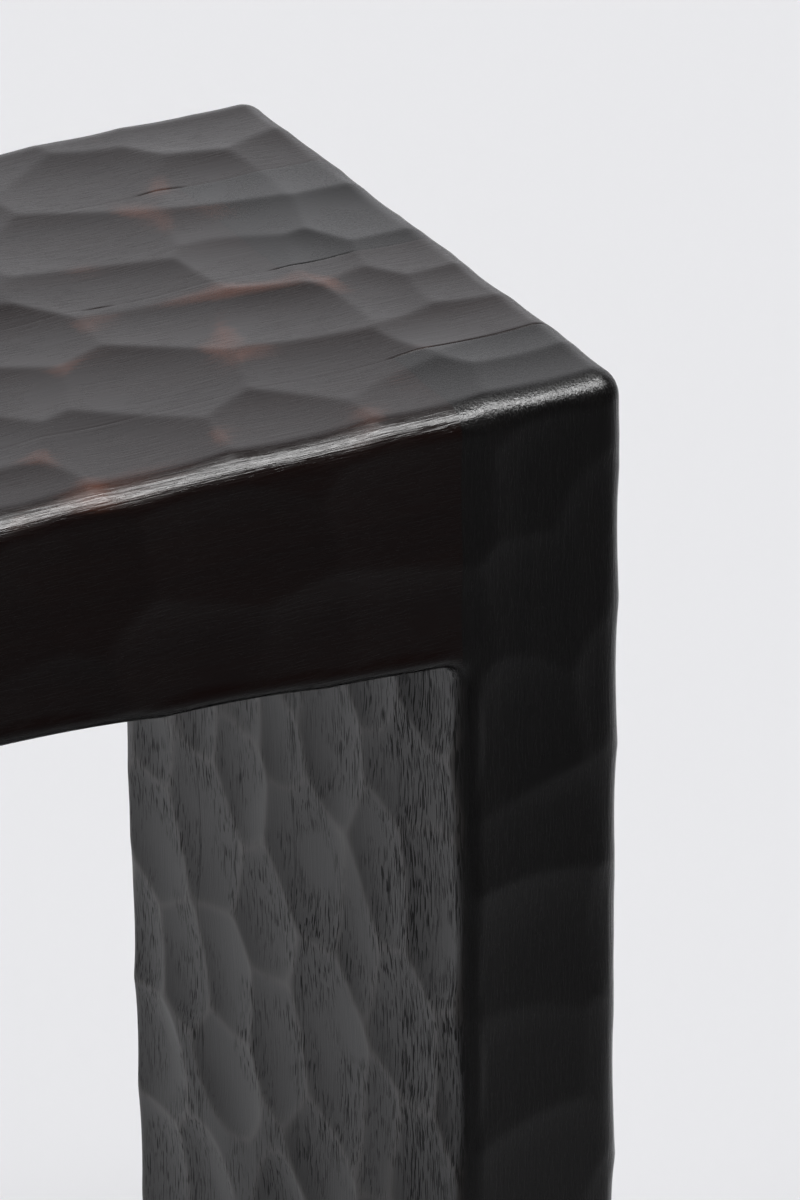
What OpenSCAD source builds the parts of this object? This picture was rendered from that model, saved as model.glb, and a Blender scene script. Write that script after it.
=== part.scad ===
// Waterfall bench with a gouge-carved surface: a thick seat slab carried by two
// slab legs. Seat and legs are glued up from four layers side by side. In the
// front and third layer the leg runs up to the top and the seat stave butts
// against it; in the second and back layer the seat stave runs out over the leg.
// The four layers together lock each corner like fingers of two hands.
// Millimetres, +Z up, origin on the floor below the middle of the bench.

/* [Bench] */
// overall length
bench_l = 1200; // [900:10:1500]
// depth from front to back
bench_d = 270; // [250:5:320]
// height of the seat above the floor
bench_h = 480; // [440:5:520]

/* [Slabs] */
// thickness of each leg
leg_t = 61; // [50:1:75]
// depth of the seat where it meets a leg
seat_t = 92; // [82:1:106]
// depth of the seat at mid-span, above the arch
waist_t = 66; // [58:1:76]

/* [Layers] */
// width of the front layer
front_w = 46; // [40:1:56]
// width of the second layer
second_w = 81; // [70:1:88]
// width of the third layer
third_w = 78; // [70:1:88]

/* [Edges] */
// radius of the rubbed outer edges
edge_r = 10; // [7:1:13]
// radius of the edges around the leg room
inner_r = 7; // [4:1:9]
// chamfer under the feet
foot_c = 3; // [2:0.5:5]

/* [Gouge cuts] */
// radius of the hollow that one cut leaves
gouge_r = 135; // [115:5:175]
// depth of the deepest cuts
gouge_d = 2.5; // [1.6:0.1:3.3]
// distance between cuts along the grain
gouge_pitch = 56; // [50:1:70]
// distance between rows of cuts
gouge_row = 44; // [38:1:54]

/* [Glides] */
// diameter of a glide cup
cup_dia = 30; // [24:1:36]
// height of a glide cup
cup_h = 4; // [3:0.5:6]
// depth of the recess that holds the felt
felt_seat = 1.5; // [1:0.1:2]
// thickness of the felt
felt_t = 3; // [2.5:0.5:5]
// wall of the cup around the felt
cup_wall = 2.5; // [1.5:0.5:4]
// distance of a glide from the front or back face
glide_in = 24; // [21:1:30]
// diameter of the screw's shank
screw_dia = 4; // [3:0.5:5]
// diameter of the screw's head
head_dia = 8; // [6:0.5:9]
// length of the screw
screw_l = 25; // [16:1:40]

/* [Hidden] */
$fn = 96;

// clearance of a free fit, and the least one that keeps two surfaces apart
ease = 0.3;
snug = 0.05;
// how far the arris of the leg room stays short of a true tangent
crease = 0.4;

foot_z = felt_t + cup_h - felt_seat;     // underside of the wood
shoulder_z = bench_h - seat_t;           // where seat and leg meet
half_l = bench_l / 2;
half_d = bench_d / 2;
room = half_l - leg_t;                   // half the gap between the legs
rise = seat_t - waist_t;                 // how far the arch rises
arch_r = (room * room + rise * rise) / (2 * rise);
arch_z = bench_h - waist_t - arch_r;     // height of the arch's centre
out = 5;                                 // how far a cutter stands out of the wood
reach = sqrt(2 * gouge_r * gouge_d);     // radius of the widest cut on a flat face
glide_x = half_l - leg_t / 2;
glide_y = half_d - glide_in;

// layers from front to back: where each starts, and whether its leg runs through
layer_y = [-half_d, -half_d + front_w, -half_d + front_w + second_w,
           -half_d + front_w + second_w + third_w, half_d];
leg_runs = [true, false, true, false];

wood = [0.13, 0.1, 0.09];
wood_leg = [0.1, 0.09, 0.085];

// an even scatter between -1 and 1 that is the same on every build
function stray(i, k, s) =
  let (v = sin(i * 127.1 + k * 311.7 + s * 74.7) * 4375.85) 2 * (v - floor(v)) - 1;

// rectangle from -w to w and from a to b. r rounds its upper corners; low_r rounds
// its lower ones, or low_c chamfers them
module slab_outline(w, a, b, r, low_r, low_c) {
  difference() {
    translate([-w, a]) square([2 * w, b - a]);
    for (s = [-1, 1]) {
      translate([s * (w - r), b - r]) corner_waste(s, 1, r);
      if (low_r > 0) translate([s * (w - low_r), a + low_r]) corner_waste(s, -1, low_r);
      if (low_c > 0) translate([s * w, a]) rotate(45) square(low_c * sqrt(2), center = true);
    }
  }
}

// what falls away outside a quarter circle
module corner_waste(sx, sy, r) {
  difference() {
    scale([sx, sy]) square(r + out);
    circle(r);
  }
}

// the closed block that the bench would be with no room between its legs, with
// its rounded arrises and chamfered foot: every stave is a part of it
module block() {
  intersection() {
    rotate([90, 0, 0]) translate([0, 0, -half_d - out])
      linear_extrude(bench_d + 2 * out) slab_outline(half_l, foot_z, bench_h, edge_r, 0, foot_c);
    rotate([90, 0, 90]) translate([0, 0, -half_l - out])
      linear_extrude(bench_l + 2 * out) slab_outline(half_d, foot_z, bench_h, edge_r, 0, foot_c);
    linear_extrude(bench_h + out) slab_outline(half_l, -half_d, half_d, edge_r, edge_r, 0);
  }
}

// the arched underside of the seat
module arch() {
  translate([0, half_d + out, arch_z]) rotate([90, 0, 0])
    cylinder(r = arch_r, h = bench_d + 2 * out, $fn = 1440);
}

// waste off the arris of the leg room on the front face, down one leg: the four
// flats that a block plane leaves, mitred where they meet the arch
module leg_arris() {
  r = inner_r + crease;
  intersection() {
    translate([room, -half_d, foot_z - out]) linear_extrude(bench_h)
      polygon(concat([[-out, -out], [inner_r, -out]],
                     [for (a = [0 : 22.5 : 90]) [inner_r - r * sin(a), inner_r - r * cos(a)]],
                     [[-out, inner_r]]));
    rotate([90, 0, 0]) translate([0, 0, half_d - 2 * inner_r]) linear_extrude(3 * inner_r + out)
      polygon([[room - 2 * out, foot_z - 2 * out], [room - 2 * out, shoulder_z - 2 * out],
               [room + 2 * inner_r, shoulder_z + 2 * inner_r], [room + 2 * inner_r, foot_z - 2 * out]]);
  }
}

// the waste of one gouge cut, with its lowest point at the origin
module dish() {
  intersection() {
    translate([0, 0, gouge_r]) sphere(gouge_r, $fn = 180);
    translate([0, 0, out / 2 - 1]) cube([3 * reach, 3 * reach, out + 2], center = true);
  }
}

// cuts on a face from u0 to u1 along the grain and from v0 to v1 across it, in rows
// that run along u; keep_u and keep_v are the stretch in which cuts are wanted
module cuts(u0, u1, v0, v1, keep_u, keep_v, s) {
  for (k = [ceil(v0 / gouge_row - 0.9) : floor(v1 / gouge_row + 0.9)])
    for (i = [ceil(u0 / gouge_pitch - 1.2) : floor(u1 / gouge_pitch + 0.7)]) {
      u = (i + (k % 2 == 0 ? 0 : 0.5)) * gouge_pitch + gouge_pitch / 7 * stray(i, k, s);
      v = k * gouge_row + gouge_row / 8 * stray(k, i, s + 3);
      if (u > keep_u[0] - 0.8 * reach && u < keep_u[1] + 0.8 * reach
          && v > keep_v[0] - 0.8 * reach && v < keep_v[1] + 0.8 * reach
          && u > u0 && u < u1 && v > v0 && v < v1)
        translate([u, v, -gouge_d * (0.85 + 0.15 * stray(i, k, s + 7))]) dish();
    }
}

// the seat's upper face, for a stave between y0 and y1
module top_cuts(x0, x1, y0, y1) {
  translate([0, 0, bench_h]) cuts(-half_l - 9, half_l + 9, -half_d - 9, half_d + 9, [x0, x1], [y0, y1], 1);
}

// the arched underside
module under_cuts(y0, y1) {
  for (k = [-ceil(half_d / gouge_row) : ceil(half_d / gouge_row)]) for (i = [-floor(room / gouge_pitch) : floor(room / gouge_pitch)]) {
    v = k * gouge_row + gouge_row / 8 * stray(k, i, 13);
    u = (i + (k % 2 == 0 ? 0 : 0.5)) * gouge_pitch + gouge_pitch / 7 * stray(i, k, 11);
    if (v > y0 - 0.8 * reach && v < y1 + 0.8 * reach && abs(u) < room - 0.6 * reach)
      translate([0, v, arch_z]) rotate([0, u / arch_r * 180 / PI, 0])
        translate([0, 0, arch_r + gouge_d * 0.8]) rotate([180, 0, 0]) dish();
  }
}

// a row of closer cuts that takes the arris off the arch on the front face
module arch_arris() {
  pitch = gouge_pitch / 2;
  depth = inner_r * (sqrt(2) - 1) + pitch * pitch / 8 / gouge_r;
  for (i = [-floor(room / pitch) : floor(room / pitch)])
    translate([0, -half_d, arch_z]) rotate([0, i * pitch / arch_r * 180 / PI, 0])
      translate([0, 0, arch_r]) rotate([135, 0, 0]) translate([0, 0, -depth]) dish();
}

// the front face of the seat, and of the leg at +X; the back is its mirror image
module rail_cuts(x0, x1) {
  translate([0, -half_d, 0]) rotate([90, 0, 0])
    cuts(-room, room, shoulder_z - 9, bench_h + 9, [x0, x1], [shoulder_z, bench_h], 21);
}
module leg_front_cuts(z0, z1) {
  translate([0, -half_d, 0]) rotate([90, 0, 0]) rotate([0, 0, 90]) mirror([0, 1, 0])
    cuts(foot_z, bench_h + 9, room, half_l + 9, [z0, z1], [room, half_l], 31);
}

// the end face and the inner face of the leg at +X
module end_cuts(y0, y1, z0, z1) {
  translate([half_l, 0, 0]) rotate([0, 90, 0]) mirror([1, 0, 0])
    cuts(foot_z, bench_h + 9, -half_d - 9, half_d + 9, [z0, z1], [y0, y1], 42);
}
module inner_cuts(y0, y1) {
  translate([room, 0, 0]) rotate([0, -90, 0])
    cuts(foot_z, shoulder_z - 0.5 * reach, -half_d - 9, half_d + 9, [foot_z, shoulder_z], [y0, y1], 51);
}

// seat stave of one layer
module seat_stave(layer) {
  y0 = layer_y[layer];
  y1 = layer_y[layer + 1];
  low = layer == 0 ? out : 0;
  high = layer == 3 ? out : 0;
  end_x = leg_runs[layer] ? room : half_l + out;
  color(wood) difference() {
    intersection() {
      block();
      translate([-end_x, y0 - low, leg_runs[layer] ? shoulder_z - out : shoulder_z])
        cube([2 * end_x, y1 - y0 + low + high, seat_t + 2 * out]);
    }
    arch();
    top_cuts(-end_x, end_x, y0, y1);
    under_cuts(y0, y1);
    if (layer == 0) { arch_arris(); rail_cuts(-room, room); }
    if (layer == 3) mirror([0, 1, 0]) { arch_arris(); rail_cuts(-room, room); }
    if (!leg_runs[layer]) for (s = [0, 1]) mirror([s, 0, 0]) {
      end_cuts(y0, y1, shoulder_z, bench_h);
      if (layer == 3) mirror([0, 1, 0]) leg_front_cuts(shoulder_z, bench_h);
    }
  }
}

// leg stave of one layer, at +X
module leg_stave(layer) {
  y0 = layer_y[layer];
  y1 = layer_y[layer + 1];
  low = layer == 0 ? out : 0;
  high = layer == 3 ? out : 0;
  top = leg_runs[layer] ? bench_h + out : shoulder_z;
  color(wood_leg) difference() {
    intersection() {
      block();
      translate([room, y0 - low, foot_z - out])
        cube([leg_t + out, y1 - y0 + low + high, top - foot_z + out]);
    }
    translate([room, 0, foot_z]) rotate([0, 45, 0])
      cube([foot_c * sqrt(2), bench_d + 2 * out, foot_c * sqrt(2)], center = true);
    for (e = [-1, 1]) if (e * glide_y > y0 && e * glide_y < y1)
      translate([glide_x, e * glide_y, foot_z - out]) cylinder(d = screw_dia + 2 * snug, h = screw_l + out);
    end_cuts(y0, y1, foot_z, top);
    inner_cuts(y0, y1);
    if (leg_runs[layer]) top_cuts(room, half_l, y0, y1);
    if (layer == 0) { leg_arris(); leg_front_cuts(foot_z, top); }
    if (layer == 3) mirror([0, 1, 0]) { leg_arris(); leg_front_cuts(foot_z, top); }
  }
}

// cup with a seat for the felt and a sunk hole for the screw
module cup(sx, sy) {
  translate([sx * glide_x, sy * glide_y, felt_t - felt_seat]) color([0.07, 0.07, 0.07]) difference() {
    rotate_extrude() polygon([[0, 0], [cup_dia / 2 - 0.5, 0], [cup_dia / 2, 0.5],
                              [cup_dia / 2, cup_h - 1], [cup_dia / 2 - 1, cup_h], [0, cup_h]]);
    translate([0, 0, -1]) cylinder(d = cup_dia - 2 * cup_wall, h = felt_seat + 1);
    translate([0, 0, -1]) cylinder(d = screw_dia + 2 * ease, h = cup_h + 2);
    translate([0, 0, felt_seat]) cylinder(d1 = head_dia + 2 * snug, d2 = screw_dia + 2 * snug, h = (head_dia - screw_dia) / 2);
  }
}

module felt(sx, sy) {
  translate([sx * glide_x, sy * glide_y, 0]) color([0.3, 0.29, 0.28])
    cylinder(d = cup_dia - 2 * cup_wall - 2 * snug, h = felt_t);
}

// countersunk screw, head down, its slot facing the felt
module screw(sx, sy) {
  translate([sx * glide_x, sy * glide_y, felt_t]) color([0.7, 0.7, 0.68]) difference() {
    rotate_extrude() polygon([[0, 0], [head_dia / 2, 0], [screw_dia / 2, (head_dia - screw_dia) / 2],
                              [screw_dia / 2, screw_l - 4], [0.4, screw_l - 1], [0, screw_l - 1]]);
    translate([-head_dia / 2, -0.5, -1]) cube([head_dia, 1, 1.8]);
  }
}

seat_stave(0);  // seat_front
seat_stave(1);  // seat_second
seat_stave(2);  // seat_third
seat_stave(3);  // seat_back
mirror([1, 0, 0]) leg_stave(0);  // left_leg_front
mirror([1, 0, 0]) leg_stave(1);  // left_leg_second
mirror([1, 0, 0]) leg_stave(2);  // left_leg_third
mirror([1, 0, 0]) leg_stave(3);  // left_leg_back
leg_stave(0);  // right_leg_front
leg_stave(1);  // right_leg_second
leg_stave(2);  // right_leg_third
leg_stave(3);  // right_leg_back
cup(-1, -1);  // cup_left_front
cup(-1, 1);  // cup_left_back
cup(1, -1);  // cup_right_front
cup(1, 1);  // cup_right_back
felt(-1, -1);  // felt_left_front
felt(-1, 1);  // felt_left_back
felt(1, -1);  // felt_right_front
felt(1, 1);  // felt_right_back
screw(-1, -1);  // screw_left_front
screw(-1, 1);  // screw_left_back
screw(1, -1);  // screw_right_front
screw(1, 1);  // screw_right_back
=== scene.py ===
# %% [markdown]
# # A carved waterfall bench
# The bench is built like a comb joint: four layers of thick staves lie side by
# side, and at each corner the leg and the seat take turns in running through.
# After gluing, the maker works over every face with a wide, shallow gouge, rubs
# the edges round, stains the wood black and waxes it. This file loads the
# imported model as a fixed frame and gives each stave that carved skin.

import math

import bmesh
import bpy
import numpy as np
from mathutils import Matrix, Vector


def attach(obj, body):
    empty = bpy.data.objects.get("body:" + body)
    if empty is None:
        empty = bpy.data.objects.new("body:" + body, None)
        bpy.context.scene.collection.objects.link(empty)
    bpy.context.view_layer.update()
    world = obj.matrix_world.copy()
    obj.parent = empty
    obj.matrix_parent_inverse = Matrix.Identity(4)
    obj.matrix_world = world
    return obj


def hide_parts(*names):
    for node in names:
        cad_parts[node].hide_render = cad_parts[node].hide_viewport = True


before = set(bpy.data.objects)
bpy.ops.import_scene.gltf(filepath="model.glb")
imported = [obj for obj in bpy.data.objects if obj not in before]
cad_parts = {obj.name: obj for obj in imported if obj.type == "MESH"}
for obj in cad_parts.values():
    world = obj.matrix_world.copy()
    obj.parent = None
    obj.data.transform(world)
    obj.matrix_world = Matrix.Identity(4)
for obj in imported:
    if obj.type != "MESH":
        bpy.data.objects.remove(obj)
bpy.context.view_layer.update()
print("nodes in the frame:", len(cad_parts))

# %% [markdown]
# ## Sizes
# The same sizes as the CAD part, in millimetres, because a carver thinks in
# millimetres. They are turned into metres at the very end of each mesh.

# %% Sizes of the bench in millimetres
LENGTH, DEPTH, HEIGHT = 1200.0, 270.0, 480.0
LEG, SEAT, WAIST = 61.0, 92.0, 66.0
EDGE_R, ROOM_R, CORNER_R, FOOT_R = 10.0, 7.0, 6.5, 3.0
FOOT_Z = 5.5
HALF_L, HALF_D = LENGTH / 2, DEPTH / 2
ROOM = HALF_L - LEG
SHOULDER = HEIGHT - SEAT
RISE = SEAT - WAIST
ARCH_R = (ROOM ** 2 + RISE ** 2) / (2 * RISE)
ARCH_C = HEIGHT - WAIST - ARCH_R
LAYERS = [-135.0, -89.0, -8.0, 70.0, 135.0]
NAMES = ["front", "second", "third", "back"]
LEG_RUNS = [True, False, True, False]
print("arch radius", round(ARCH_R), "mm, its rise", RISE, "mm")

# %% [markdown]
# ## The smooth body, before the gouge
# The bench before carving is a block with rubbed edges, less the arched room
# between its legs. Written as a distance, negative inside the wood, that form
# takes two lines, and it also says which way is outwards at any point. A
# rounded edge between two faces is the length of how far a point lies past
# each of them, less the radius.

# %% Distance to the smooth body
def arch_height(x):
    """Height of the seat's underside at x, level with the shoulder past the legs."""
    inside = np.clip(np.abs(x), 0, ROOM)
    return ARCH_C + np.sqrt(ARCH_R ** 2 - inside ** 2)


def rounded(a, b, r):
    """Distance to what two faces share, with the edge between them rounded."""
    past = np.hypot(np.maximum(a + r, 0), np.maximum(b + r, 0))
    return np.minimum(np.maximum(a, b), -r) + past


def body_distance(p):
    x, y, z = p[:, 0], p[:, 1], p[:, 2]
    core = np.stack([np.abs(x) - HALF_L, np.abs(y) - HALF_D, z - HEIGHT], 1) + EDGE_R
    block = (np.linalg.norm(np.maximum(core, 0), axis=1)
             + np.minimum(core.max(axis=1), 0) - EDGE_R)
    block = rounded(block, FOOT_Z - z, FOOT_R)
    room = rounded(np.abs(x) - ROOM, z - arch_height(x), CORNER_R)
    return rounded(block, -room, ROOM_R)


def outward(p, step=0.05):
    """The direction that leads out of the smooth body at each point."""
    g = np.empty_like(p)
    for k in range(3):
        d = np.zeros(3)
        d[k] = step
        g[:, k] = body_distance(p + d) - body_distance(p - d)
    return g / np.maximum(np.linalg.norm(g, axis=1, keepdims=True), 1e-9)


# %% [markdown]
# ## The gouge cuts
# Each cut is a shallow hollow, longer along the grain than across it. Cuts
# overlap, and where two meet they leave a ridge: that gives the surface its
# irregular cells. A cut is kept as the place of its deepest point on a face,
# the half length and half width at which it runs out, its depth, how far it
# is turned and towards which side it is steeper. The corner that faces the
# viewer is laid out cut by cut; the rest of the bench is filled by a loose
# staggered pattern with the same sizes.

# %% Cuts laid out one by one at the corner in view
# the sketch of them was drawn for a top 340 mm deep
SKETCH = DEPTH / 340
# on the seat's top: distance from the right end and from the front edge,
# half length, half width, depth, turn in degrees
TOP_CUTS = [
    (262, 22, 44, 38, 3.2, 0), (205, 42, 46, 50, 3.4, 8), (140, 30, 42, 42, 3.2, -6),
    (85, 30, 40, 34, 2.8, 0), (30, 20, 44, 30, 2.6, 4), (30, 52, 34, 22, 2.2, 0),
    (174, 92, 46, 46, 3.6, -24), (104, 68, 46, 42, 3.2, -18), (33, 80, 46, 28, 2.8, 4),
    (228, 108, 40, 36, 3.0, 0), (98, 122, 42, 34, 3.2, -12), (52, 124, 26, 36, 2.6, 0),
    (18, 116, 34, 28, 2.6, 4), (20, 155, 34, 32, 2.8, 0), (143, 138, 48, 34, 3.0, -20),
    (205, 150, 44, 36, 3.0, -14), (146, 180, 46, 38, 3.2, -18), (84, 186, 34, 38, 3.0, 6),
    (58, 170, 24, 34, 2.6, 0), (20, 204, 34, 38, 3.0, 0), (74, 216, 42, 32, 2.8, 10),
    (138, 234, 50, 44, 3.4, -22), (114, 290, 50, 46, 3.4, -6), (60, 264, 38, 36, 2.8, 20),
    (18, 268, 34, 44, 2.8, 0), (38, 320, 50, 30, 2.8, 0), (94, 330, 32, 22, 2.2, 0),
]
# on the seat's front: distance from the right end and below the top
RAIL_CUTS = [
    (244, 24, 48, 40, 3.0, 24), (178, 28, 60, 40, 3.4, 20), (102, 26, 52, 40, 3.2, 22),
    (278, 44, 44, 40, 3.0, 24), (262, 80, 48, 38, 3.0, 20), (188, 74, 62, 38, 3.4, 18),
    (104, 82, 58, 38, 3.4, 20),
]
# on the front of the right leg: distance from the end and below the top
LEG_CUTS = [
    (34, 26, 40, 36, 3.2, 90), (36, 80, 42, 46, 3.0, 90), (50, 140, 46, 36, 3.4, 80),
    (8, 130, 52, 26, 2.6, 84), (34, 190, 34, 46, 3.0, 90), (38, 246, 50, 46, 3.6, 94),
    (46, 300, 46, 46, 3.4, 74), (8, 304, 46, 26, 2.6, 84), (36, 356, 46, 46, 3.4, 90),
    (36, 405, 44, 46, 3.2, 92),
]
# on the inner face of the right leg: distance from the front and below the top
INNER_CUTS = [
    (31, 138, 44, 32, 3.2, 0), (84, 162, 36, 32, 2.8, 0), (50, 194, 34, 56, 2.8, 8),
    (124, 214, 50, 40, 3.8, 0), (168, 234, 38, 34, 3.0, 0), (28, 250, 56, 36, 3.4, 0),
    (74, 256, 44, 34, 3.2, 6), (143, 285, 52, 52, 3.6, 0), (98, 302, 54, 32, 3.0, 16),
    (212, 275, 46, 34, 3.2, 0), (256, 260, 38, 32, 2.8, 0), (250, 320, 48, 52, 3.6, 0),
    (190, 336, 42, 42, 3.2, 6), (60, 325, 46, 48, 3.4, 0), (8, 330, 44, 26, 2.8, 0),
    (305, 350, 44, 42, 3.4, 0), (306, 300, 34, 36, 2.8, 0), (124, 374, 60, 50, 3.8, 14),
    (231, 388, 42, 34, 3.2, 0), (175, 392, 46, 40, 3.0, 0), (276, 402, 36, 36, 3.0, 0),
    (323, 408, 38, 32, 3.2, 0), (44, 388, 44, 48, 3.2, 0), (136, 430, 36, 36, 3.0, 0),
    (232, 436, 34, 36, 3.0, 0), (210, 232, 34, 34, 2.8, 0), (160, 196, 34, 34, 2.8, 0),
    (300, 255, 36, 36, 3.0, 0), (120, 160, 34, 32, 2.8, 0),
]


# %% The list of all cuts
class Cuts:
    """Every cut of the bench: place, normal, two directions, sizes, steeper side."""

    def __init__(self):
        self.rows = []

    def add(self, place, normal, along, half_length, half_width, depth, turn, steep):
        n, u = np.array(normal, float), np.array(along, float)
        v = np.cross(n, u)
        c, s = math.cos(math.radians(turn)), math.sin(math.radians(turn))
        self.rows.append((np.array(place, float), n, c * u + s * v, c * v - s * u,
                          half_length, half_width, depth, np.array(steep, float)))

    def near(self, place, normal):
        """Distance to the closest cut on the same face."""
        d = [np.linalg.norm(r[0] - place) for r in self.rows if r[1] @ normal > 0.9]
        return min(d, default=1e9)

    def columns(self):
        return [np.array([r[k] for r in self.rows]) for k in range(8)]


cuts = Cuts()
for row in TOP_CUTS:
    x, y, a, b, d = (SKETCH * q for q in row[:5])
    cuts.add((HALF_L - x, y - HALF_D, HEIGHT), (0, 0, 1), (1, 0, 0), a, b, d, row[5],
             (0, 0.45, 0))
for row in RAIL_CUTS + LEG_CUTS:
    x, z, a, b, d = (SKETCH * q for q in row[:5])
    cuts.add((HALF_L - x, -HALF_D, HEIGHT - z), (0, -1, 0), (1, 0, 0), a, b, d, -row[5],
             (0, 0, 0.55))
for row in INNER_CUTS:
    y, z, a, b, d = (SKETCH * q for q in row[:5])
    cuts.add((ROOM, y - HALF_D, HEIGHT - z), (-1, 0, 0), (0, 0, 1), a, b, d, row[5],
             (0, 0, -0.45))
print("cuts laid out by eye:", len(cuts.rows))


# %% [markdown]
# Rows of cuts, every other one shifted by half a step, fill what is left. Each
# cut is moved, sized and turned a little by a seeded generator, and left out
# where one of the cuts listed above lies close.

# %% A staggered pattern for the rest
def fill(origin, along, across, normal, size_u, size_v, pitch_u, pitch_v, keep, rng):
    """Fills a face with staggered cuts wherever none lies close already."""
    o, u, v, n = (np.array(q, float) for q in (origin, along, across, normal))
    done = 0
    for k in range(-1, int(size_v / pitch_v) + 2):
        for i in range(-1, int(size_u / pitch_u) + 2):
            su = (i + 0.5 * (k % 2) + rng.uniform(-0.2, 0.2)) * pitch_u
            sv = (k + 0.5 + rng.uniform(-0.18, 0.18)) * pitch_v
            a, b = rng.uniform(0.56, 0.76) * pitch_u, rng.uniform(0.66, 0.86) * pitch_v
            d, turn = rng.uniform(2.1, 3.0), rng.uniform(-22, 22)
            place = o + su * u + sv * v
            if keep(place) and cuts.near(place, n) > 0.72 * min(pitch_u, pitch_v):
                steep = (0, 0.4, 0) if n[2] > 0.5 else (0, 0, 0.45)
                cuts.add(place, n, u, a, b, d, turn, steep)
                done += 1
    return done


rng = np.random.default_rng(11)
count = fill((-HALF_L, -HALF_D, HEIGHT), (1, 0, 0), (0, 1, 0), (0, 0, 1),
             LENGTH, DEPTH, 54, 40, lambda p: abs(p[0]) < 606, rng)
for side in (-1, 1):
    n = (0, side, 0)
    count += fill((-ROOM, side * HALF_D, SHOULDER), (1, 0, 0), (0, 0, 1), n,
                  2 * ROOM, SEAT, 64, 42,
                  lambda p: abs(p[0]) < ROOM and p[2] > SHOULDER - 4, rng)
    for end in (-1, 1):
        count += fill((end * (ROOM + LEG / 2) - LEG / 2, side * HALF_D, FOOT_Z), (0, 0, 1),
                      (1, 0, 0), n, HEIGHT - FOOT_Z, LEG, 50, 36,
                      lambda p: abs(p[0]) > ROOM - 4, rng)
for end in (-1, 1):
    count += fill((end * HALF_L, -HALF_D, FOOT_Z), (0, 0, 1), (0, 1, 0), (end, 0, 0),
                  HEIGHT - FOOT_Z, DEPTH, 53, 38, lambda p: True, rng)
    count += fill((end * ROOM, -HALF_D, FOOT_Z), (0, 0, 1), (0, 1, 0), (-end, 0, 0),
                  SHOULDER - FOOT_Z, DEPTH, 53, 38, lambda p: p[2] < SHOULDER + 16, rng)
for k in range(7):
    for i in range(21):
        x = -ROOM + (i + 0.5 * (k % 2) + rng.uniform(-0.2, 0.2)) * 53
        y = -HALF_D + (k + 0.5 + rng.uniform(-0.18, 0.18)) * 40
        n = np.array([x, 0, float(arch_height(np.array([x]))[0]) - ARCH_C])
        n = -n / np.linalg.norm(n)
        if abs(x) < ROOM - 6:
            cuts.add((x, y, float(arch_height(np.array([x]))[0])), n, np.cross((0, 1, 0), n),
                     rng.uniform(32, 40), rng.uniform(27, 34), rng.uniform(2.1, 2.9),
                     rng.uniform(-20, 20), (0.3, 0, 0))
            count += 1
print("cuts filled in:", count)

# %% [markdown]
# ## How deep the gouge went
# At a point of the smooth body, each cut that reaches it asks for a depth: the
# hollow is a shallow bowl, so the depth falls off with the square of the
# distance. The gouge goes in steeply and comes out flat, so one end of the
# bowl is steeper. The deepest cut wins. A soft maximum does that and at the
# same time rounds the ridges, as sanding and years of use do.

# %% Depth of the carving
RIDGE = 9.0        # how crisp the ridges are: per millimetre of depth
NEAR = 2.5         # the same for the strip along a ridge where the stain is thin
SHALLOW = -4.0     # mm: where a bowl lies this far above the wood it counts no more
REACH = 112.0      # mm from the middle of a box within which cuts can touch it
STOCK = 1.6        # mm that the ridges stand outside the sizes above
CELL = 60.0        # size of the boxes that sort the cuts by place
place, normal, along, across, half_u, half_v, depth, steep = cuts.columns()
facing_axis = np.abs(normal).argmax(axis=1)
print("deepest cut", round(depth.max(), 1), "mm, longest", round(2 * half_u.max()), "mm")


def carve_depth(p, n):
    """Depth of the carving at points p with outward directions n, in three parts
    for the faces across x, y and z, and how close each point lies to a ridge:
    1 on it, 0 well inside a hollow."""
    total = np.ones((3, len(p)))      # an untouched surface asks for no depth
    wide, widest = np.ones((3, len(p))), np.ones((3, len(p)))
    keys = np.floor(p / CELL).astype(int)
    order = np.lexsort(keys.T)
    keys = keys[order]
    starts = np.flatnonzero(np.r_[True, np.any(np.diff(keys, axis=0) != 0, axis=1)])
    for s, e in zip(starts, np.r_[starts[1:], len(p)]):
        ids = order[s:e]
        middle = (keys[s] + 0.5) * CELL
        close = np.flatnonzero(np.linalg.norm(place - middle, axis=1) < REACH)
        q, m = p[ids], n[ids]
        for c in close:
            k = facing_axis[c]
            r = q - place[c]
            bowl = (r @ along[c] / half_u[c]) ** 2 + (r @ across[c] / half_v[c]) ** 2
            bowl *= 1 + r @ steep[c] / (np.linalg.norm(r, axis=1) + 1e-6)
            want = depth[c] * (1 - bowl)
            ok = (m @ normal[c] > 0.1) & (want > SHALLOW)
            wish = np.where(ok, np.exp(RIDGE * np.maximum(want, SHALLOW)), 0)
            total[k, ids] += wish
            wish = wish ** (NEAR / RIDGE)
            wide[k, ids] += wish
            widest[k, ids] = np.maximum(widest[k, ids], wish)
    share = n.T ** 2                  # on a rounded edge the depths of its faces blend
    return (share * np.log(total) / RIDGE,
            (share * np.clip(wide / widest - 1, 0, 1)).sum(axis=0))
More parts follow.
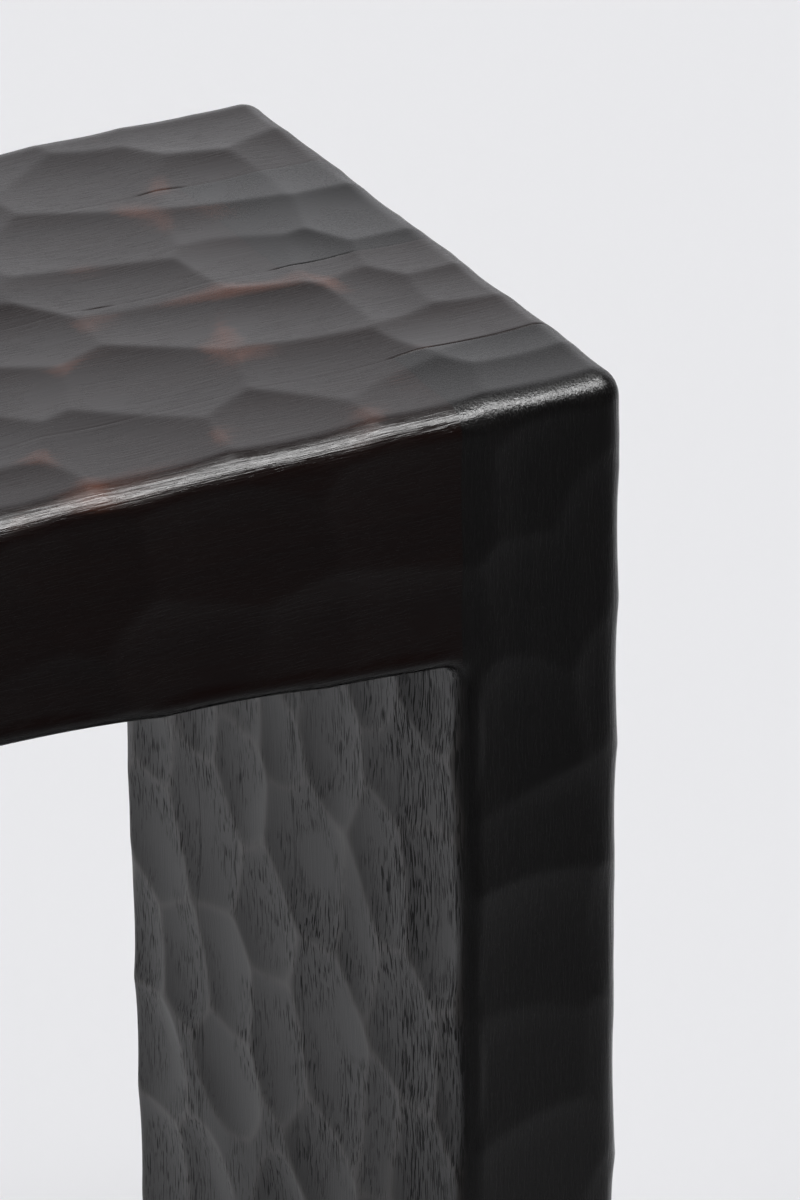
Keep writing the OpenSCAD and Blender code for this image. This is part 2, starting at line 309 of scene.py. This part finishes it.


# %% [markdown]
# ## Where the stain is rubbed through
# Between some hollows on the seat the stain is worn down to brown wood. The
# spots are listed one by one, each an ellipse that fades out, and kept with every
# point of the mesh, so that the finish can read them.

# %% Rubbed spots
# distance from the right end and from the front edge, half sizes, turn, strength
SPOTS = [
    (226, 8, 40, 9, 12, 1.0), (236, 40, 22, 9, -20, 0.6), (168, 26, 16, 8, 30, 0.5),
    (112, 14, 22, 9, 20, 0.5), (82, 28, 10, 18, 0, 0.45), (132, 104, 9, 26, -24, 0.8),
    (100, 148, 34, 7, -4, 0.9), (66, 136, 5, 17, 22, 0.9), (126, 88, 12, 7, 0, 0.8),
    (196, 112, 18, 8, 10, 0.55), (168, 146, 16, 9, 0, 0.5), (104, 240, 9, 22, 8, 0.8),
    (86, 262, 14, 10, 30, 0.6), (74, 224, 12, 9, -20, 0.8), (150, 196, 9, 14, 0, 0.3),
    (86, 330, 5, 12, 0, 0.4), (288, 60, 16, 8, 0, 0.5), (60, 62, 16, 7, 0, 0.35),
]


def rubbed(p):
    """How far the stain is worn through at points p, from 0 to about 1."""
    worn = np.zeros(len(p))
    for x, y, a, b, turn, most in SPOTS:
        for mirror in (1, -1):        # and the same spots turned half round, far from view
            dx = mirror * p[:, 0] - (HALF_L - SKETCH * x)
            dy = mirror * p[:, 1] - (SKETCH * y - HALF_D)
            c, s = math.cos(math.radians(turn)), math.sin(math.radians(turn))
            u, v = (c * dx + s * dy) / (SKETCH * a), (c * dy - s * dx) / (SKETCH * b)
            worn = np.maximum(worn, most * np.exp(-(u * u + v * v)))
    return worn * np.clip((p[:, 2] - HEIGHT + 7) / 3, 0, 1)


# %% [markdown]
# ## Staves
# Each stave starts as flat grids, one for each face that shows, in whole
# numbers of grid steps. The lines of a grid are close together at the corner
# in view and wider apart elsewhere, and one runs just beside each glue line,
# so that only the edge itself can sink there.

# %% Lines of the grid
def spaced(*stops):
    """Numbers from the first stop to the last, each stretch with its own step."""
    out = [stops[0]]
    for step, end in zip(stops[1::2], stops[2::2]):
        n = max(1, round(abs(end - out[-1]) / step))
        out += list(np.linspace(out[-1], end, n + 1)[1:])
    return np.array(out)


QUICK = 1
FINE, COARSE, CROSS = 1.0 * QUICK, 2.2 * QUICK, 1.4 * QUICK
BESIDE = 0.3       # mm from a glue line to the grid line beside it
print("grid steps in mm:", FINE, COARSE, CROSS)

# %% [markdown]
# The grids are welded along their edges, and each hidden glue face becomes one
# polygon. So the stave is a closed solid before any point of it moves.

# %% Grids and glue faces
def grid_face(bm, axis, at, lo, hi):
    """A grid on one side of the index box, from lo to hi in the other two axes."""
    i, j = [k for k in range(3) if k != axis]
    n, m = hi[0] - lo[0], hi[1] - lo[1]
    turn = Matrix.Identity(4)
    cols = {i: Vector((n / 2, 0, 0)), j: Vector((0, m / 2, 0)), axis: Vector((0, 0, 0))}
    for k in range(3):
        turn[k][0], turn[k][1], turn[k][2] = cols[k][0], cols[k][1], 1.0 if k == axis else 0.0
    turn[i][3], turn[j][3], turn[axis][3] = lo[0] + n / 2, lo[1] + m / 2, at
    bmesh.ops.create_grid(bm, x_segments=n, y_segments=m, size=1.0, matrix=turn)


def glue_face(bm, axis, at, lo, hi):
    """Closes one hidden rectangle: its missing sides become plain edges."""
    i, j = [k for k in range(3) if k != axis]
    corner = [(lo[0], lo[1]), (hi[0], lo[1]), (hi[0], hi[1]), (lo[0], hi[1])]
    open_edges = [e for e in bm.edges if len(e.link_faces) < 2]
    points = {}
    for e in open_edges:
        for v in e.verts:
            points[tuple(round(c) for c in v.co)] = v
    rim = []
    for (a0, b0), (a1, b1) in zip(corner, corner[1:] + corner[:1]):
        k, fixed = (i, b0) if b0 == b1 else (j, a0)
        other = j if k == i else i
        low, high = (min(a0, a1), max(a0, a1)) if k == i else (min(b0, b1), max(b0, b1))
        side = [e for e in open_edges
                if all(abs(v.co[axis] - at) < 0.1 and abs(v.co[other] - fixed) < 0.1
                       and low - 0.1 < v.co[k] < high + 0.1 for v in e.verts)]
        if not side:
            ends = []
            for value in (low, high):
                c = [0, 0, 0]
                c[axis], c[other], c[k] = at, fixed, value
                ends.append(points[tuple(c)])
            side = [bm.edges.new(ends)]
        rim += side
    made = bmesh.ops.contextual_create(bm, geom=rim)["faces"]
    for f in made:
        f.smooth = False
        for e in f.edges:
            e.smooth = False
    return len(made)


def closed_box(name, shown, hidden):
    """The mesh of one stave, still in grid steps. Its faces are listed as axis,
    side and the ranges of index in the other two axes."""
    bm = bmesh.new()
    for face in shown:
        grid_face(bm, *face)
    for f in bm.faces:
        f.smooth = True
    bmesh.ops.remove_doubles(bm, verts=bm.verts, dist=0.01)
    closed = sum(glue_face(bm, *face) for face in hidden)
    bmesh.ops.recalc_face_normals(bm, faces=bm.faces)
    open_left = sum(1 for e in bm.edges if len(e.link_faces) != 2)
    mesh = bpy.data.meshes.new(name)
    bm.to_mesh(mesh)
    bm.free()
    print(name, "faces", len(mesh.polygons), "glue faces", closed, "open edges", open_left)
    return mesh


# %% [markdown]
# Then the grid steps are turned into millimetres, the points are drawn onto
# the smooth body, and the gouge takes its depth away. A rasp has evened the
# edges a little, a last bevel runs along the opening under the seat, and the
# gouge reaches neither into the corner under the seat nor down to the foot.

# %% What the gouge leaves
BEVEL = 0.33       # slope of the bevel along the opening
BEVEL_FROM = 1.5   # mm from the opening at which the bevel starts
EVENED = 0.3       # share of the carving that the rasp took off the edges
FACE_N = 0.985     # a normal's largest part, above which a point lies on a flat face


def onto_body(p):
    """Points p drawn onto the smooth body, and their outward directions."""
    for _ in range(4):
        p = p - body_distance(p)[:, None] * outward(p)
    return p, outward(p)


def gouged(p, n):
    """The wood taken away at points p of the smooth body, how close each lies to
    a ridge, and how far it lies on a rounded edge."""
    t, near = carve_depth(p, n)
    room = rounded(np.abs(p[:, 0]) - ROOM, p[:, 2] - arch_height(p[:, 0]), CORNER_R)
    t[1] = np.minimum(t[1], BEVEL * np.maximum(room - BEVEL_FROM, 0))
    edge = np.clip((FACE_N - np.abs(n).max(axis=1)) / 0.1, 0, 1)
    t = (t.sum(axis=0) - STOCK) * (1 - EVENED * edge)
    corner = np.hypot(np.abs(p[:, 0]) - ROOM, p[:, 2] - SHOULDER)
    t *= np.clip((corner - 3) / 12, 0, 1) ** 0.7
    t *= np.clip((p[:, 2] - FOOT_Z) / 8, 0, 1)
    return t, near, edge


# %% [markdown]
# Wood moves with the seasons, so along a glue line the two staves stand a
# little apart in height, and at a few places on the top the line has opened.

# %% Glue lines
# where the lines on the top have opened: distance from the front, and from
# where to where, measured from the end of the bench
OPENED = [(46, 2, 64), (127, 34, 66), (127, 121, 133), (205, 58, 78)]
STEP = 0.02        # mm by which an edge sinks where nothing can be seen of it
STEP_SIDE = 0.08   # mm by which a stave's near edge sinks on the upright faces
GAP = 0.3          # mm more where the line has opened


def seam_depth(p, n, y, first):
    """How far the edge of a stave sinks at a glue line. first marks its near edge."""
    top = n[:, 2] > 0.7
    sunk = np.where(top, STEP, STEP_SIDE)
    for back, near_end, far_end in OPENED:
        inside = np.clip(np.minimum(HALF_L - near_end - np.abs(p[:, 0]),
                                    np.abs(p[:, 0]) - HALF_L + far_end) / 6, 0, 1)
        sunk += GAP * inside * top * (abs(y + HALF_D - back) < 0.1)
    return np.where(first, sunk, STEP)


# %% [markdown]
# Each point also keeps five numbers for the finish: how close it lies to a
# ridge, how far it lies on an edge, how dull it stays because no cloth gets
# there, how far the stain is rubbed through, and how coarse the pores of its
# board are.

# %% One stave
PORES = {"front": 1.0, "second": 0.1, "third": -0.2, "back": 0.1}


def stave(name, xs, ys, zs, shown, hidden, node):
    """Builds one carved stave. xs, ys and zs are its grid lines, and shown and
    hidden list its faces for closed_box."""
    mesh = closed_box(name, shown, hidden)
    co = np.empty(len(mesh.vertices) * 3)
    mesh.vertices.foreach_get("co", co)
    index = np.rint(co.reshape(-1, 3)).astype(int)
    x, y, z = xs[index[:, 0]], ys[index[:, 1]], zs[index[:, 2]]
    # a seat stave's lower side follows the arch, and what lies above moves in proportion
    if name.startswith("seat"):
        low = arch_height(x)
        z = low + (z - SHOULDER) * (HEIGHT - low) / SEAT
    p, n = onto_body(np.stack([x, y, z], 1))
    t, near, edge = gouged(p, n)
    first = index[:, 1] == 0
    seam = first | (index[:, 1] == len(ys) - 1)
    if not name.startswith("seat"):
        seam |= (abs(x) == ROOM) & (index[:, 2] > 0)
    seam &= abs(np.abs(y) - HALF_D) > 1
    t += seam * seam_depth(p, n, y, first)
    p -= t[:, None] * n
    mesh.vertices.foreach_set("co", (p * 0.001).ravel())
    mesh.update()
    notes = {
        "ridge": near ** 1.3,
        "edge": edge,
        "dull": np.clip(-n[:, 0] * np.sign(p[:, 0]) * 2.5 - 1.4, 0, 1),
        "rubbed": rubbed(p) * np.clip(0.3 + 1.5 * near, 0, 1),
        "coarse": np.full(len(p), PORES[name.rsplit("_", 1)[1]]),
    }
    for label, values in notes.items():
        mesh.attributes.new(label, "FLOAT", "POINT").data.foreach_set("value", values)
    piece = bpy.data.objects.new(name, mesh)
    bpy.context.scene.collection.objects.link(piece)
    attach(piece, "root")
    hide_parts(node)
    return piece


# %% [markdown]
# A seat stave runs from leg to leg, or out over both legs' ends.

# %% Seat staves
staves = []
for layer in range(4):
    y0, y1 = LAYERS[layer], LAYERS[layer + 1]
    cross = 1.9 * QUICK if layer == 3 else CROSS
    ys = spaced(y0, BESIDE, y0 + BESIDE, cross, y1 - BESIDE, BESIDE, y1)
    zs = spaced(SHOULDER, cross, HEIGHT)
    if LEG_RUNS[layer]:
        xs = spaced(-ROOM, COARSE, 240, FINE, ROOM)
    else:
        xs = spaced(-HALF_L, FINE, -HALF_L + 12, COARSE, -ROOM, COARSE, 240, FINE, ROOM,
                    FINE, HALF_L)
    nx, ny, nz = len(xs) - 1, len(ys) - 1, len(zs) - 1
    left, right = [int(np.argmin(abs(xs - s * ROOM))) for s in (-1, 1)]
    shown = [(2, nz, (0, 0), (nx, ny)), (2, 0, (left, 0), (right, ny))]
    hidden = []
    for at, outer in ((0, layer == 0), (ny, layer == 3)):
        (shown if outer else hidden).append((1, at, (0, 0), (nx, nz)))
    if LEG_RUNS[layer]:
        hidden += [(0, 0, (0, 0), (ny, nz)), (0, nx, (0, 0), (ny, nz))]
    else:
        shown += [(0, 0, (0, 0), (ny, nz)), (0, nx, (0, 0), (ny, nz))]
        hidden += [(2, 0, (0, 0), (left, ny)), (2, 0, (right, 0), (nx, ny))]
    staves.append(stave("seat_stave_" + NAMES[layer], xs, ys, zs, shown, hidden,
                        "seat_" + NAMES[layer]))

print("seat staves:", len(staves))

# %% [markdown]
# A leg stave stops under the seat, or runs up to the top of the bench. The
# left leg is built like the right one, with its grid lines mirrored.

# %% Leg staves
for side, word in ((-1, "left"), (1, "right")):
    fine = 1.2 * QUICK if side > 0 else 1.5 * QUICK
    for layer in range(4):
        y0, y1 = LAYERS[layer], LAYERS[layer + 1]
        runs = LEG_RUNS[layer]
        xs = spaced(ROOM, fine, HALF_L)
        ys = spaced(y0, BESIDE, y0 + BESIDE, fine, y1 - BESIDE, BESIDE, y1)
        zs = spaced(*(FOOT_Z, fine, SHOULDER) + ((fine, HEIGHT) if runs else ()))
        if side < 0:
            xs = -xs[::-1]
        nx, ny, nz = len(xs) - 1, len(ys) - 1, len(zs) - 1
        top = int(np.argmin(abs(zs - SHOULDER)))
        inner, outer = (0, nx) if side > 0 else (nx, 0)
        shown = [(2, 0, (0, 0), (nx, ny)), (0, outer, (0, 0), (ny, nz)),
                 (0, inner, (0, 0), (ny, top))]
        hidden = []
        if runs:
            shown.append((2, nz, (0, 0), (nx, ny)))
            hidden.append((0, inner, (0, top), (ny, nz)))
        else:
            hidden.append((2, nz, (0, 0), (nx, ny)))
        for at, out in ((0, layer == 0), (ny, layer == 3)):
            (shown if out else hidden).append((1, at, (0, 0), (nx, nz)))
        staves.append(stave(f"{word}_leg_stave_" + NAMES[layer], xs, ys, zs, shown, hidden,
                            f"{word}_leg_{NAMES[layer]}"))
print("staves in all:", len(staves))

# %% [markdown]
# ## Finish
# The wood is a hardwood stained black-brown and waxed. The stain sinks in and
# leaves almost no colour of its own; what the eye sees is the wax, a satin
# skin that mirrors bright things at a low angle and nothing from straight on.
# The fibres run along each stave: they show as fine streaks on its sides and
# as dots on its ends. One pattern gives both, because it is stretched along
# the stave in all three directions of space.

# %% Colours and nodes
def linear(hex_colour):
    """An sRGB colour such as #1d1815, as the linear numbers that a shader takes."""
    parts = [int(hex_colour[k:k + 2], 16) / 255 for k in (1, 3, 5)]
    return tuple(c / 12.92 if c <= 0.04045 else ((c + 0.055) / 1.055) ** 2.4
                 for c in parts) + (1.0,)


def add(tree, kind, links=(), **settings):
    """Adds a node, gives it settings and joins its inputs to other nodes' outputs."""
    made = tree.nodes.new(kind)
    for key, value in settings.items():
        if hasattr(made, key):
            setattr(made, key, value)
        else:
            made.inputs[int(key[1:]) if key[0] == "n" and key[1:].isdigit()
                        else key.replace("_", " ")].default_value = value
    for socket, (other, output) in dict(links).items():
        tree.links.new(other.outputs[output], made.inputs[socket])
    return made


def ramp(tree, source, low, high, at_low, at_high):
    """Maps a value from one range to another and stops at both ends."""
    return add(tree, "ShaderNodeMapRange", {"Value": source}, n1=low, n2=high,
               n3=at_low, n4=at_high)


def mixed(tree, share, first, second):
    """Mixes two colours. The first may be a colour or come from another node."""
    if isinstance(first[0], float):
        return add(tree, "ShaderNodeMix", {0: share}, data_type="RGBA", n6=first, n7=second)
    return add(tree, "ShaderNodeMix", {0: share, 6: first}, data_type="RGBA", n7=second)


def plain(name, colour, roughness, metallic=0.0):
    """A material of one colour."""
    mat = bpy.data.materials.new(name)
    mat.use_nodes = True
    shader = mat.node_tree.nodes["Principled BSDF"]
    shader.inputs["Base Color"].default_value = linear(colour)
    shader.inputs["Roughness"].default_value = roughness
    shader.inputs["Metallic"].default_value = metallic
    return mat


# %% [markdown]
# Four patterns are enough: fine fibres, broad bands of deeper stain, open
# pores and soft clouds. The pores show only where no cloth has filled them
# with wax, and they are wider and closer together in a coarse board.

# %% Patterns of the wood
FIBRE = 0.45       # mm across one streak
PORE = 0.35        # mm across one open pore


def patterns(tree, fibres_along):
    """The patterns of wood whose fibres run along the given axis, 0 or 2."""
    here = add(tree, "ShaderNodeTexCoord")

    def squeezed(share):
        """Millimetres, but along the fibres only this share of them."""
        scale = [1000.0, 1000.0, 1000.0]
        scale[fibres_along] *= share
        return add(tree, "ShaderNodeVectorMath", {0: (here, "Object")},
                   operation="MULTIPLY", n1=tuple(scale))

    strands, vessels = squeezed(0.035), squeezed(0.09)
    fibre = add(tree, "ShaderNodeTexNoise", {"Vector": (strands, 0)}, Scale=0.5 / FIBRE,
                Detail=3.0, Roughness=0.6)
    band = add(tree, "ShaderNodeTexNoise", {"Vector": (strands, 0)}, Scale=0.09, Detail=2.0)
    cloud = add(tree, "ShaderNodeTexNoise", {"Vector": (here, "Object")}, Scale=28.0,
                Detail=3.0)
    pore = add(tree, "ShaderNodeTexNoise", {"Vector": (vessels, 0)}, Scale=0.5 / PORE,
               Detail=1.0, Roughness=0.4)
    board = add(tree, "ShaderNodeAttribute", attribute_name="coarse")
    dull = add(tree, "ShaderNodeAttribute", attribute_name="dull")
    # level is 1 on closed wood and 0 in an open pore
    wide = add(tree, "ShaderNodeMath", {0: (board, "Fac"), 2: (pore, "Fac")},
               operation="MULTIPLY_ADD", n1=-0.05)
    level = ramp(tree, (wide, 0), 0.35, 0.43, 0.0, 1.0)
    crowd = add(tree, "ShaderNodeMath", {0: (board, "Fac"), 2: (cloud, "Fac")},
                operation="MULTIPLY_ADD", n1=0.12)
    crowd = ramp(tree, (crowd, 0), 0.42, 0.60, 1.0, 0.0)
    level = add(tree, "ShaderNodeMath", {0: (level, 0), 1: (crowd, 0)}, operation="MAXIMUM")
    filled = ramp(tree, (dull, "Fac"), 0.0, 1.0, 0.88, 0.0)
    level = add(tree, "ShaderNodeMath", {0: (level, 0), 1: (filled, 0)}, operation="MAXIMUM")
    return fibre, band, cloud, level, dull


# %% [markdown]
# The colour starts as two depths of stain. Where the stain is rubbed through
# it turns brown, with a ragged border that follows the fibres. Under the seat
# the ridges are painted a lighter grey, a painted highlight where their crowns
# would catch the light, and every open pore is darker.

# %% Colour of the wood
def wood_colour(tree, fibre, band, cloud, level, dull, dark, light):
    colour = mixed(tree, (band, "Fac"), linear(dark), linear(light))
    worn = add(tree, "ShaderNodeAttribute", attribute_name="rubbed")
    ragged = add(tree, "ShaderNodeMath", {0: (fibre, "Fac"), 1: (cloud, "Fac")},
                 operation="ADD")
    ragged = add(tree, "ShaderNodeMath", {0: (ragged, 0)}, operation="MULTIPLY_ADD",
                 n1=1.0, n2=-1.0)
    patch = add(tree, "ShaderNodeMath", {0: (worn, "Fac"), 1: (ragged, 0)}, operation="ADD")
    patch = ramp(tree, (patch, 0), 0.14, 0.36, 0.0, 1.0)
    patch = add(tree, "ShaderNodeMath", {0: (patch, 0), 1: (worn, "Fac")},
                operation="MULTIPLY")
    colour = mixed(tree, (patch, 0), (colour, 2), linear("#2d1912"))
    # painted highlight: on the faces under the seat the ridges are mixed towards a light grey, as
    # if their crowns caught the light
    painted_ridge_highlight = add(tree, "ShaderNodeAttribute", attribute_name="ridge")
    painted_ridge_highlight = add(tree, "ShaderNodeMath", {0: (painted_ridge_highlight, "Fac"), 1: (dull, "Fac")},
                operation="MULTIPLY")
    painted_ridge_highlight = add(tree, "ShaderNodeMath", {0: (painted_ridge_highlight, 0), 1: (dull, "Fac")},
                operation="MULTIPLY")
    painted_ridge_highlight = add(tree, "ShaderNodeMath", {0: (painted_ridge_highlight, 0)}, operation="MULTIPLY", n1=0.5)
    colour = mixed(tree, (painted_ridge_highlight, 0), (colour, 2), linear("#4a4643"))
    ink = ramp(tree, (level, 0), 0.0, 1.0, 0.35, 1.0)
    return add(tree, "ShaderNodeMix", {6: (colour, 2), 7: (ink, 0)}, data_type="RGBA",
               blend_type="MULTIPLY", n0=1.0)


# %% [markdown]
# The wax is patchy, thin where no cloth gets, and missing in the pores. The
# fibres stand proud by a few hundredths of a millimetre, more so on the
# rubbed edges, and the pores are open.

# %% Stained and waxed wood
def stained(name, fibres_along, dark, light):
    """Stained, waxed hardwood whose fibres run along the given axis, 0 or 2."""
    mat = bpy.data.materials.new(name)
    mat.use_nodes = True
    tree = mat.node_tree
    shader = tree.nodes["Principled BSDF"]
    fibre, band, cloud, level, dull = patterns(tree, fibres_along)
    colour = wood_colour(tree, fibre, band, cloud, level, dull, dark, light)
    tree.links.new(colour.outputs[2], shader.inputs["Base Color"])
    gloss = ramp(tree, (cloud, "Fac"), 0.3, 0.7, 0.19, 0.27)
    gloss = add(tree, "ShaderNodeMix", {0: (dull, "Fac"), 2: (gloss, 0)}, n3=0.42)
    gloss = add(tree, "ShaderNodeMix", {0: (level, 0), 3: (gloss, 0)}, n2=0.8)
    tree.links.new(gloss.outputs[0], shader.inputs["Roughness"])
    shader.inputs["IOR"].default_value = 1.33
    edge = add(tree, "ShaderNodeAttribute", attribute_name="edge")
    edge = add(tree, "ShaderNodeMath", {0: (edge, "Fac")}, operation="MULTIPLY_ADD",
               n1=2.2, n2=1.0)
    height = add(tree, "ShaderNodeMath", {0: (fibre, "Fac"), 1: (edge, 0)},
                 operation="MULTIPLY")
    relief = add(tree, "ShaderNodeBump", {"Height": (height, 0)}, Strength=0.5,
                 Distance=0.00014)
    relief = add(tree, "ShaderNodeBump", {"Height": (level, 0), "Normal": (relief, 0)},
                 Strength=0.6, Distance=0.00016)
    tree.links.new(relief.outputs[0], shader.inputs["Normal"])
    print(name, "with", len(tree.nodes), "nodes")
    return mat


seat_wood = stained("hardwood_stained_waxed_seat", 0, "#060303", "#0c0605")
leg_wood = stained("hardwood_stained_waxed_leg", 2, "#040404", "#090808")
for piece in staves:
    piece.data.materials.append(seat_wood if piece.name.startswith("seat") else leg_wood)

# %% [markdown]
# ## Glides
# The glides stay as they are in the frame and only get their real materials:
# a moulded nylon cup, a disc of pressed felt and a zinc-plated screw.

# %% Materials of the glides
GLIDES = {
    "cup": plain("nylon_moulded_black", "#141414", 0.5),
    "felt": plain("felt_pressed_grey", "#55524e", 1.0),
    "screw": plain("steel_zinc_plated", "#b8b8b2", 0.35, 1.0),
}
for name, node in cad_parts.items():
    part = name.split("_")[0]
    if part in GLIDES:
        node.data.materials[0] = GLIDES[part]
        print(name, "is", GLIDES[part].name)

# %% [markdown]
# ## Studio
# The bench was photographed before a bright wall, in a room that is dark on
# the camera's side: that is why the top, seen at a low angle, is grey with the
# wall's reflection while the front stays almost black. The world is therefore
# bright behind the bench and dim before it.

# %% World
scene = bpy.context.scene
scene.view_settings.view_transform = "Standard"
world = bpy.data.worlds.new("studio")
scene.world = world
world.use_nodes = True
tree = world.node_tree
where = add(tree, "ShaderNodeTexCoord")
split = add(tree, "ShaderNodeSeparateXYZ", {0: (where, "Generated")})
behind = add(tree, "ShaderNodeMapRange", {"Value": (split, "Y")}, interpolation_type="SMOOTHSTEP",
             n1=0.0, n2=0.5, n3=0.0, n4=1.0)
ceiling = add(tree, "ShaderNodeMapRange", {"Value": (split, "Z")}, interpolation_type="SMOOTHSTEP",
              n1=0.57, n2=0.82, n3=1.0, n4=0.1)
wall = add(tree, "ShaderNodeMath", {0: (behind, 0), 1: (ceiling, 0)}, operation="MULTIPLY")
room = mixed(tree, (wall, 0), linear("#262628"), linear("#ececf0"))
tree.links.new(room.outputs[2], tree.nodes["Background"].inputs["Color"])
tree.nodes["Background"].inputs["Strength"].default_value = 1.2
print("bright wall behind, dim room in front")

# %% [markdown]
# The floor is a sheet of pale paper. Before the bench its colour falls off to a
# mid grey: painted shade, as if the light fell off towards the camera, so that
# the front faces mirror something darker.

# %% Floor
floor_mesh = bpy.data.meshes.new("floor")
bm = bmesh.new()
bmesh.ops.create_grid(bm, x_segments=1, y_segments=1, size=8)
bm.to_mesh(floor_mesh)
bm.free()
floor = bpy.data.objects.new("floor", floor_mesh)
scene.collection.objects.link(floor)
paper = plain("pale_paper_with_painted_shade", "#ebebed", 0.9)
tree = paper.node_tree
where = add(tree, "ShaderNodeTexCoord")
across_floor = add(tree, "ShaderNodeSeparateXYZ", {0: (where, "Object")})
# painted shade: the paper's colour falls off to mid grey before the bench, as if the light fell
# off towards the camera
painted_shade_ramp = add(tree, "ShaderNodeMapRange", {"Value": (across_floor, "Y")},
               interpolation_type="SMOOTHSTEP", n1=-0.85, n2=0.12, n3=0.0, n4=1.0)
paper_and_painted_shade = mixed(tree, (painted_shade_ramp, 0), linear("#868688"), linear("#ebebed"))
tree.links.new(paper_and_painted_shade.outputs[2], tree.nodes["Principled BSDF"].inputs["Base Color"])
floor_mesh.materials.append(paper)
print("floor", [round(d) for d in floor.dimensions[:2]], "m")


# %% [markdown]
# Two lamps: one washes the floor behind and beside the bench, and a long
# narrow one hangs over the front edge, which answers with a bright line. The
# second is linked to the staves alone, so its light falls on the bench only.

# %% Lamps
def lamp(name, location, target, size, power, spread):
    """A soft rectangular lamp; a small spread acts as a grid before it."""
    data = bpy.data.lights.new(name, "AREA")
    data.shape = "RECTANGLE"
    data.size, data.size_y, data.energy = size[0], size[1], power
    data.spread = math.radians(spread)
    ob = bpy.data.objects.new(name, data)
    ob.location = location
    ob.rotation_euler = (Vector(target) - Vector(location)).to_track_quat("-Z", "Y").to_euler()
    scene.collection.objects.link(ob)
    print(name, "of", power, "W at", location)
    return ob


lamp("floor_wash", (1.24, 1.17, 3.0), (1.03, 0.85, 0), (3.2, 3.6), 27, 47)
edge = lamp("edge_light", (0.80, -0.56, 1.32), (0.80, -0.13, 0.475), (1.1, 0.34), 38, 180)
bench = bpy.data.collections.new("bench")
for piece in staves:
    bench.objects.link(piece)
edge.light_linking.receiver_collection = bench

# %% [markdown]
# ## Camera
# The camera was solved from the straight edges of the corner: where the ends
# of those edges lie in the picture fixes the place, the turns and the lens.

# %% Camera
yaw, pitch, roll = 0.476, 0.474, -0.011
ahead = Vector((math.sin(yaw) * math.cos(pitch), math.cos(yaw) * math.cos(pitch),
                -math.sin(pitch)))
right = Vector((math.cos(yaw), -math.sin(yaw), 0))
up = right.cross(ahead)
right, up = (math.cos(roll) * right + math.sin(roll) * up,
             -math.sin(roll) * right + math.cos(roll) * up)
camera_data = bpy.data.cameras.new("camera")
camera_data.sensor_width = 36
camera_data.lens = 165
camera_data.clip_start = 0.05
camera = bpy.data.objects.new("camera", camera_data)
spot = Vector((-0.1908, -1.5073, 1.2115))
camera.matrix_world = Matrix(((right.x, up.x, -ahead.x, spot.x), (right.y, up.y, -ahead.y, spot.y),
                              (right.z, up.z, -ahead.z, spot.z), (0, 0, 0, 1)))
scene.collection.objects.link(camera)
scene.camera = camera
print("camera at", [round(c, 3) for c in spot])
